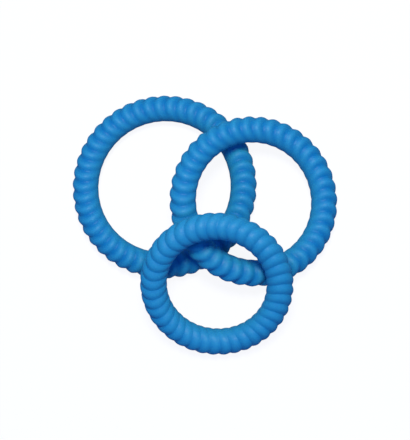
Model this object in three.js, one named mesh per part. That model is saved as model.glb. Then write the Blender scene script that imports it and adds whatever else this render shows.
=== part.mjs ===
// Three soft juggling rings of graduated size, lying on a table in a loose pile.
// Each ring is one closed moulding: a round tube bent into a circle and grooved
// all the way round, so that it looks like a rope of leaning ribs.
// Millimetres, +Z up. The large ring lies flat, the medium ring leans on it and
// the small ring leans on the medium one. No ring is linked through another.
import * as THREE from "three";
import { mergeVertices } from "three/addons/utils/BufferGeometryUtils.js";

const { degToRad } = THREE.MathUtils;

// The tube, the same on every ring. Angles round the tube start at the ring's
// outer rim and turn up over the top.
const TUBE_DIAMETER = 25.3;
const TUBE_SIDES = 12;
const TUBE_RADIUS = TUBE_DIAMETER / 2;
const FLAT_TO_CENTRE = TUBE_RADIUS * Math.cos(Math.PI / TUBE_SIDES);

// The ribs. Each is a disc that leans along the ring: its top is ahead of its
// outer rim, and its underside trails by twice as much.
const RIB_LEAN = 0.62; // in rib pitches, from a disc's middle to its leading point
const LEADING_POINT = degToRad(85);
const COLUMNS_PER_RIB = 3; // one down the groove and two on the crest

// How deep the grooves are at the outer rim, on the crown (the top and the
// underside of the tube) and at the inner rim, where they are shallowest.
const RINGS = [
  {
    name: "large_ring",
    outsideDiameter: 180,
    ribs: 45,
    firstRib: degToRad(-2.3),
    grooves: { outer: 1.9, crown: 1.6, inner: 0.15 },
    centre: new THREE.Vector3(0, 0, FLAT_TO_CENTRE),
    tilt: 0,
    lowSide: 0,
    colour: 0x2a7fc0,
  },
  {
    name: "medium_ring",
    outsideDiameter: 163,
    ribs: 39,
    firstRib: degToRad(-3.3),
    grooves: { outer: 1.9, crown: 1.6, inner: 0.4 },
    centre: new THREE.Vector3(87.8, -17.7, 28.62),
    tilt: degToRad(13.4),
    lowSide: degToRad(-11.3),
    colour: 0x2a7fc0,
  },
  {
    name: "small_ring",
    outsideDiameter: 144,
    ribs: 39,
    firstRib: degToRad(0.4),
    grooves: { outer: 1.5, crown: 1.1, inner: 0.6 },
    centre: new THREE.Vector3(52.5, -98.8, 41.12),
    tilt: degToRad(29),
    lowSide: degToRad(-90),
    colour: 0x2a7fc0,
  },
];

// The depth of a groove at an angle round the tube, a smooth curve through its
// depths at the outer rim, the crown and the inner rim.
function grooveDepth({ outer, crown, inner }, roundTube) {
  const outward = Math.cos(roundTube);
  const slope = (outer - inner) / 2;
  const bend = (outer + inner) / 2 - crown;
  return crown + slope * outward + bend * outward ** 2;
}

// A ring about its own +Z axis. The torus's grid is redrawn so that its columns
// follow the leaning ribs, with every third column at the bottom of a groove.
function ribbedRing({ outsideDiameter, ribs, firstRib, grooves }) {
  const radius = (outsideDiameter - TUBE_DIAMETER) / 2;
  const pitch = (2 * Math.PI) / ribs;
  const columns = ribs * COLUMNS_PER_RIB;
  const torus = new THREE.TorusGeometry(radius, TUBE_RADIUS, TUBE_SIDES, columns);
  const { position, uv } = torus.attributes;
  for (let i = 0; i < position.count; i++) {
    const column = Math.round(uv.getX(i) * columns);
    const roundTube = 2 * Math.PI * (uv.getY(i) + 0.5 / TUBE_SIDES);
    const inGroove = column % COLUMNS_PER_RIB === 0;
    const tube = inGroove ? TUBE_RADIUS - grooveDepth(grooves, roundTube) : TUBE_RADIUS;
    const lean = RIB_LEAN * (Math.cos(roundTube - LEADING_POINT) - 1);
    const roundRing = firstRib + pitch * (column / COLUMNS_PER_RIB - 0.5 + lean);
    const reach = radius + tube * Math.cos(roundTube);
    position.setXYZ(
      i,
      reach * Math.cos(roundRing),
      reach * Math.sin(roundRing),
      tube * Math.sin(roundTube),
    );
  }
  torus.deleteAttribute("normal");
  torus.deleteAttribute("uv");
  return mergeVertices(torus);
}

// Lays a ring in the pile, tipped by its tilt towards its low side.
function laidRing(ring) {
  const silicone = new THREE.MeshStandardMaterial({
    color: ring.colour,
    roughness: 0.55,
    metalness: 0,
    flatShading: true,
  });
  const mesh = new THREE.Mesh(ribbedRing(ring), silicone);
  const tiltAxis = new THREE.Vector3(-Math.sin(ring.lowSide), Math.cos(ring.lowSide), 0);
  mesh.name = ring.name;
  mesh.position.copy(ring.centre);
  mesh.quaternion.setFromAxisAngle(tiltAxis, ring.tilt);
  return mesh;
}

const pile = new THREE.Group();
for (const ring of RINGS) {
  pile.add(laidRing(ring));
}

// The origin is at the middle of the pile's box, on the table.
const box = new THREE.Box3().setFromObject(pile, true);
const middle = box.getCenter(new THREE.Vector3());
pile.position.set(-middle.x, -middle.y, -box.min.z);

export default pile;
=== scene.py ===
"""Three soft rope-ribbed juggling rings in a loose pile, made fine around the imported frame.

Each CAD ring gives its own centre, axis, size and rib places. The fine ring is the same
tube and the same leaning ribs with their true rounded section, in soft matt silicone.
"""

import math

import bmesh
import bpy
import numpy as np
from mathutils import Matrix, Vector


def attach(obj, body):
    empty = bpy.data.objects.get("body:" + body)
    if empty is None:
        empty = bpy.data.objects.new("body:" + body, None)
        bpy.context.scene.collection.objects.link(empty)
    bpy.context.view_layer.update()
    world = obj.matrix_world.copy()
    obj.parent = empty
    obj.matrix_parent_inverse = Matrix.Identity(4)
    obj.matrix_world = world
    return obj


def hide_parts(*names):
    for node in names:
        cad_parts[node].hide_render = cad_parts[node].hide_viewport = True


MM = 0.001
TUBE_RADIUS = 12.65 * MM

# The ribs are discs that lean along the ring. Angles round the tube start at the
# outer rim and turn up over the top, where the disc's leading point is.
RIB_LEAN = 0.62  # in rib pitches
LEADING_POINT = math.radians(85)

COLUMNS_PER_RIB = 16
TUBE_SIDES = 72

# The mould's parting line, a fine raised line round the outer and the inner rim.
PARTING_HEIGHT = 0.12 * MM
PARTING_HALF_WIDTH = 0.3 * MM

# Each ring's number of ribs, its groove depth at the outer rim, on the crown (the top
# and the underside of the tube) and at the inner rim, how round the grooves' bottoms
# are, from 1 for a crease to 2 for a full curve, and how much painted shade darkens them on the
# crown.
RINGS = {
    "large_ring": {
        "ribs": 45,
        "outer": 1.9 * MM,
        "crown": 1.6 * MM,
        "inner": 0.15 * MM,
        "round": 1.5,
        "crown_painted_shade": 0.77,
    },
    "medium_ring": {
        "ribs": 39,
        "outer": 1.9 * MM,
        "crown": 1.6 * MM,
        "inner": 0.4 * MM,
        "round": 1.5,
        "crown_painted_shade": 0.72,
    },
    "small_ring": {
        "ribs": 39,
        "outer": 1.5 * MM,
        "crown": 1.1 * MM,
        "inner": 0.6 * MM,
        "round": 1.0,
        "crown_painted_shade": 0.36,
    },
}

# The shade painted into the grooves fades from the crown to both rims, a little less to the outer
# one.
PAINTED_SHADE_FADE = 0.9
PAINTED_SHADE_OUTWARD = 0.05

# The silicone's colour on the crests, and its colour in the darkest grooves with painted shade.
CREST_BLUE = (0.031, 0.334, 0.452, 1)
SHADED_GROOVE_BLUE = (0.000, 0.190, 0.372, 1)

# Noises in the silicone, a random tone: lumps to a metre, levels of detail, and how far each one
# takes the colour from the crests' blue towards the blue with painted shade in the grooves.
MOTTLING = {"scale": 90, "detail": 2, "shade": 0.14}
STREAKS = {"scale": 320, "detail": 3, "shade": 0.08}
GRAIN = {"scale": 1400, "detail": 4, "shade": 0.16}
GRAIN_STRENGTH = 0.7
GRAIN_HEIGHT = 0.1 * MM
ROUGHNESS_RANGE = (0.42, 0.58)
NOISE_RANGE = (0.3, 0.7)  # where a noise's values mostly lie

SILICONE_IOR = 1.42
SPECULAR_LEVEL = 0.3
GLOW_WEIGHT = 0.12
GLOW_DEPTH = 2 * MM
GLOW_REACH = (0.2, 0.6, 1.0)  # red, green and blue, in shares of the depth

# The light table, in metres: a flat disc, a quarter-round bend and a wall.
TABLE_RADIUS = 3.0
COVE_RADIUS = 1.5
WALL_HEIGHT = 4.0
COVE_STEPS = 12
COVE_SIDES = 64
TABLE_COLOUR = (0.1, 0.1, 0.1, 1)
TABLE_ROUGHNESS = 0.9
TABLE_GLOW = 0.92

# The softbox above the rings and a little behind them, in metres and watts.
SOFTBOX_PLACE = Vector((0.06, 0.34, 1.45))
SOFTBOX_SIZE = 0.4
SOFTBOX_POWER = 15.9

# Fill light from the white table below, from low at the sides and from high up, each
# with its height from 0, straight down, to 1, straight up.
TABLE_BOUNCE = (0.12, 0.20, 0.24, 1)
TABLE_BOUNCE_HEIGHT = 0.45
LOW_FILL = (0.01, 0.02, 0.28, 1)
LOW_FILL_HEIGHT = 0.53
HIGH_FILL = (0.05, 0.23, 0.86, 1)
HIGH_FILL_HEIGHT = 0.80

CAMERA_AIM = Vector((0.0, 4.8, 0)) * MM
CAMERA_DISTANCE = 1176 * MM
CAMERA_AZIMUTH = math.radians(26.3)  # round from the front towards +X
CAMERA_ELEVATION = math.radians(81.7)
SENSOR_SIZE = 36  # in mm, along the picture's longer side, which is its height
FRAME_HEIGHT_PX = 440
FOCAL_PX = 1201


def lean(round_tube):
    """How far a rib is ahead of its leading point at an angle round the tube, in pitches.
    It is 0 at that point and less than 0 everywhere else."""
    return RIB_LEAN * (np.cos(round_tube - LEADING_POINT) - 1)


def read_ring(node, ribs):
    """Centre, axes and radius of a CAD ring, and the angle of its first rib's leading point."""
    coordinates = np.empty(len(node.data.vertices) * 3)
    node.data.vertices.foreach_get("co", coordinates)
    points = np.unique(coordinates.reshape(-1, 3).round(7), axis=0)
    centre = points.mean(axis=0)
    points = points - centre
    _, axes = np.linalg.eigh(points.T @ points)
    up = axes[:, 0] * np.sign(axes[2, 0])
    side = np.cross((0, 1, 0), up)
    side /= np.linalg.norm(side)
    turned = np.stack([side, np.cross(up, side), up], axis=1)
    local = points @ turned
    reach = np.hypot(local[:, 0], local[:, 1])
    radius = (reach.min() + reach.max()) / 2
    round_ring = np.arctan2(local[:, 1], local[:, 0])
    round_tube = np.arctan2(local[:, 2], reach - radius)
    tube = np.hypot(local[:, 2], reach - radius)
    columns = ribs * round_ring - 2 * math.pi * lean(round_tube)
    first = np.angle(np.sum((tube - tube.mean()) * np.exp(1j * columns))) / ribs
    return centre, turned, radius, first


def tube_angles():
    """Angles round the tube, closer at the parting line, and which of them it raises."""
    even = 2 * math.pi * np.arange(TUBE_SIDES) / TUBE_SIDES
    edge = PARTING_HALF_WIDTH / TUBE_RADIUS
    beside_rims = np.array([-edge, edge, math.pi - edge, math.pi + edge])
    angles = np.unique(np.concatenate([even, beside_rims]) % (2 * math.pi))
    raised = np.isclose(np.sin(angles), 0)
    return angles, raised


def groove_depth(shape, outward):
    """A smooth curve through the depths at the outer rim, the crown and the inner rim."""
    depth = shape["crown"] + (shape["outer"] - shape["inner"]) / 2 * outward
    return depth + ((shape["outer"] + shape["inner"]) / 2 - shape["crown"]) * outward**2


def grid_faces(columns, sides):
    """The faces of a grid of points that closes on itself both ways."""
    column = np.arange(columns)[:, None]
    side = np.arange(sides)[None, :]
    next_column = (column + 1) % columns
    next_side = (side + 1) % sides
    corners = [
        column * sides + side,
        next_column * sides + side,
        next_column * sides + next_side,
        column * sides + next_side,
    ]
    return np.stack(corners, axis=-1).reshape(-1, 4)


def ribbed_ring(name, node, shape):
    """A fine ring in a CAD ring's place, with the shade painted into its grooves as an attribute.
    """
    ribs = shape["ribs"]
    centre, turned, radius, first = read_ring(node, ribs)
    columns = ribs * COLUMNS_PER_RIB
    pitch = 2 * math.pi / ribs
    step = np.arange(columns)[:, None] / COLUMNS_PER_RIB
    round_tube, raised = tube_angles()
    outward = np.cos(round_tube)
    hollow = 1 - np.abs(np.cos(math.pi * step)) ** shape["round"]
    tube = TUBE_RADIUS - groove_depth(shape, outward) * hollow + PARTING_HEIGHT * raised
    round_ring = first + pitch * (step + lean(round_tube))
    reach = radius + tube * outward
    local = np.stack(
        [reach * np.cos(round_ring), reach * np.sin(round_ring), tube * np.sin(round_tube)],
        axis=-1,
    )
    points = local.reshape(-1, 3) @ turned.T + centre
    points[:, 2] = np.maximum(points[:, 2], 0)  # the table's height
    mesh = bpy.data.meshes.new(name)
    mesh.from_pydata(points.tolist(), [], grid_faces(columns, len(round_tube)).tolist())
    mesh.shade_smooth()
    # Painted shade: the grooves are coloured darker where shade falls in them, most on the crown.
    painted_groove_shade = mesh.attributes.new("painted_groove_shade", "FLOAT", "POINT")
    painted_shade = shape["crown_painted_shade"] * (1 + PAINTED_SHADE_OUTWARD * outward - PAINTED_SHADE_FADE * outward**2)
    painted_groove_shade.data.foreach_set("value", (painted_shade * hollow).ravel())
    ring = bpy.data.objects.new(name, mesh)
    bpy.context.scene.collection.objects.link(ring)
    return ring


def new_material(name):
    """A material with its nodes, its links and its surface shader."""
    material = bpy.data.materials.new(name)
    material.use_nodes = True
    nodes = material.node_tree.nodes
    return material, nodes, material.node_tree.links, nodes["Principled BSDF"]


def noise(nodes, links, place, kind):
    """Soft noise fixed to the object."""
    texture = nodes.new("ShaderNodeTexNoise")
    texture.inputs["Scale"].default_value = kind["scale"]
    texture.inputs["Detail"].default_value = kind["detail"]
    links.new(place.outputs["Object"], texture.inputs["Vector"])
    return texture.outputs["Fac"]


def spread(nodes, links, value, low, high):
    """Stretches a noise to run mostly from a low to a high value."""
    stretch = nodes.new("ShaderNodeMapRange")
    stretch.inputs["From Min"].default_value = NOISE_RANGE[0]
    stretch.inputs["From Max"].default_value = NOISE_RANGE[1]
    stretch.inputs["To Min"].default_value = low
    stretch.inputs["To Max"].default_value = high
    links.new(value, stretch.inputs["Value"])
    return stretch.outputs["Result"]


def total(nodes, links, first, second):
    """The sum of two values."""
    add = nodes.new("ShaderNodeMath")
    links.new(first, add.inputs[0])
    links.new(second, add.inputs[1])
    return add.outputs["Value"]


def silicone():
    """Soft matt blue silicone: a velvety grain, faint mottling and a deeper blue painted in the
    grooves as shade.
    """
    material, nodes, links, surface = new_material("blue_silicone")
    surface.inputs["IOR"].default_value = SILICONE_IOR
    surface.inputs["Specular IOR Level"].default_value = SPECULAR_LEVEL
    surface.inputs["Subsurface Weight"].default_value = GLOW_WEIGHT
    surface.inputs["Subsurface Radius"].default_value = GLOW_REACH
    surface.inputs["Subsurface Scale"].default_value = GLOW_DEPTH

    place = nodes.new("ShaderNodeTexCoord")
    mottling = noise(nodes, links, place, MOTTLING)
    streaks = noise(nodes, links, place, STREAKS)
    grain = noise(nodes, links, place, GRAIN)

    # The grooves' painted shade from the attribute, with the noises' random tone added to it.
    painted_groove_shade = nodes.new("ShaderNodeAttribute")
    painted_groove_shade.attribute_name = "painted_groove_shade"
    shade = painted_groove_shade.outputs["Fac"]
    for value, kind in ((mottling, MOTTLING), (streaks, STREAKS), (grain, GRAIN)):
        shade = total(nodes, links, shade, spread(nodes, links, value, 0, kind["shade"]))
    # The colour runs from the crests' blue to the grooves' blue with painted shade.
    blues = nodes.new("ShaderNodeValToRGB")
    blues.color_ramp.elements[0].color = CREST_BLUE
    blues.color_ramp.elements[1].color = SHADED_GROOVE_BLUE
    links.new(shade, blues.inputs["Fac"])
    links.new(blues.outputs["Color"], surface.inputs["Base Color"])

    roughness = spread(nodes, links, streaks, *ROUGHNESS_RANGE)
    links.new(roughness, surface.inputs["Roughness"])

    bump = nodes.new("ShaderNodeBump")
    bump.inputs["Strength"].default_value = GRAIN_STRENGTH
    bump.inputs["Distance"].default_value = GRAIN_HEIGHT
    links.new(grain, bump.inputs["Height"])
    links.new(bump.outputs["Normal"], surface.inputs["Normal"])
    return material


def cove_mesh():
    """A round table top that bends up into a wall, spun from its section."""
    bend = np.linspace(0, math.pi / 2, COVE_STEPS)
    reach = [0, *(TABLE_RADIUS + COVE_RADIUS * np.sin(bend)), TABLE_RADIUS + COVE_RADIUS]
    height = [0, *(COVE_RADIUS * (1 - np.cos(bend))), WALL_HEIGHT]
    cove = bmesh.new()
    profile = [cove.verts.new((x, 0, z)) for x, z in zip(reach, height)]
    edges = [cove.edges.new(pair) for pair in zip(profile, profile[1:])]
    bmesh.ops.spin(
        cove,
        geom=profile + edges,
        axis=(0, 0, 1),
        cent=(0, 0, 0),
        angle=2 * math.pi,
        steps=COVE_SIDES,
    )
    bmesh.ops.remove_doubles(cove, verts=cove.verts, dist=MM)
    mesh = bpy.data.meshes.new("floor")
    cove.to_mesh(mesh)
    cove.free()
    mesh.shade_smooth()
    return mesh


def floor():
    """A plain white light table inside a curved wall. It glows, so shadows on it are faint,
    and it neither lights the rings nor keeps the fill light from them."""
    table = bpy.data.objects.new("floor", cove_mesh())
    table.visible_diffuse = False
    table.visible_glossy = False
    table.visible_shadow = False
    bpy.context.scene.collection.objects.link(table)
    material, _, _, surface = new_material("pale_floor")
    surface.inputs["Base Color"].default_value = TABLE_COLOUR
    surface.inputs["Roughness"].default_value = TABLE_ROUGHNESS
    surface.inputs["Specular IOR Level"].default_value = 0
    surface.inputs["Emission Color"].default_value = (1, 1, 1, 1)
    surface.inputs["Emission Strength"].default_value = TABLE_GLOW
    table.data.materials.append(material)


def looking(place, aim):
    """The matrix of a camera or lamp at a place, looking at the aim, with +Y at its top."""
    back = (place - aim).normalized()
    right = Vector((0, 1, 0)).cross(back).normalized()
    turned = Matrix((right, back.cross(right), back)).transposed()
    return Matrix.Translation(place) @ turned.to_4x4()


def softbox():
    """The one lamp, a round softbox that looks at the origin."""
    lamp = bpy.data.lights.new("softbox", "AREA")
    lamp.shape = "DISK"
    lamp.size = SOFTBOX_SIZE
    lamp.energy = SOFTBOX_POWER
    holder = bpy.data.objects.new("softbox", lamp)
    holder.matrix_world = looking(SOFTBOX_PLACE, Vector((0, 0, 0)))
    bpy.context.scene.collection.objects.link(holder)


def fill_light():
    """Light from all round, whose colour changes with its height."""
    world = bpy.data.worlds.new("studio")
    world.use_nodes = True
    nodes = world.node_tree.nodes
    links = world.node_tree.links
    direction = nodes.new("ShaderNodeTexCoord")
    height = nodes.new("ShaderNodeSeparateXYZ")
    links.new(direction.outputs["Generated"], height.inputs["Vector"])
    share = nodes.new("ShaderNodeMapRange")
    share.inputs["From Min"].default_value = -1
    links.new(height.outputs["Z"], share.inputs["Value"])
    fill = nodes.new("ShaderNodeValToRGB")
    stops = fill.color_ramp.elements
    stops[0].position = TABLE_BOUNCE_HEIGHT
    stops[0].color = TABLE_BOUNCE
    stops[1].position = HIGH_FILL_HEIGHT
    stops[1].color = HIGH_FILL
    low = stops.new(LOW_FILL_HEIGHT)
    low.color = LOW_FILL
    links.new(share.outputs["Result"], fill.inputs["Fac"])
    links.new(fill.outputs["Color"], nodes["Background"].inputs["Color"])
    bpy.context.scene.world = world


def camera():
    """The camera, almost straight above and a little to the front and the right."""
    lens = bpy.data.cameras.new("camera")
    lens.sensor_width = SENSOR_SIZE
    lens.lens = FOCAL_PX * lens.sensor_width / FRAME_HEIGHT_PX
    flat = math.cos(CAMERA_ELEVATION)
    offset = Vector(
        (
            flat * math.sin(CAMERA_AZIMUTH),
            -flat * math.cos(CAMERA_AZIMUTH),
            math.sin(CAMERA_ELEVATION),
        )
    )
    holder = bpy.data.objects.new("camera", lens)
    holder.matrix_world = looking(CAMERA_AIM + CAMERA_DISTANCE * offset, CAMERA_AIM)
    bpy.context.scene.collection.objects.link(holder)
    bpy.context.scene.camera = holder


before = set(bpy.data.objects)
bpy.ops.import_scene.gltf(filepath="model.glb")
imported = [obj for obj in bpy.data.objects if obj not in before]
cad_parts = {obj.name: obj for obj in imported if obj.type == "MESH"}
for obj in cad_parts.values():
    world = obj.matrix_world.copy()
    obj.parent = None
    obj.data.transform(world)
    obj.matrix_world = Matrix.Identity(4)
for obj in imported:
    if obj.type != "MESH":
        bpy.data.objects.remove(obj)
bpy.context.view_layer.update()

material = silicone()
for name, shape in RINGS.items():
    ring = ribbed_ring("ribbed_" + name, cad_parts[name], shape)
    ring.data.materials.append(material)
    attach(ring, name)
    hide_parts(name)

floor()
softbox()
fill_light()
bpy.context.scene.view_settings.view_transform = "Standard"
camera()
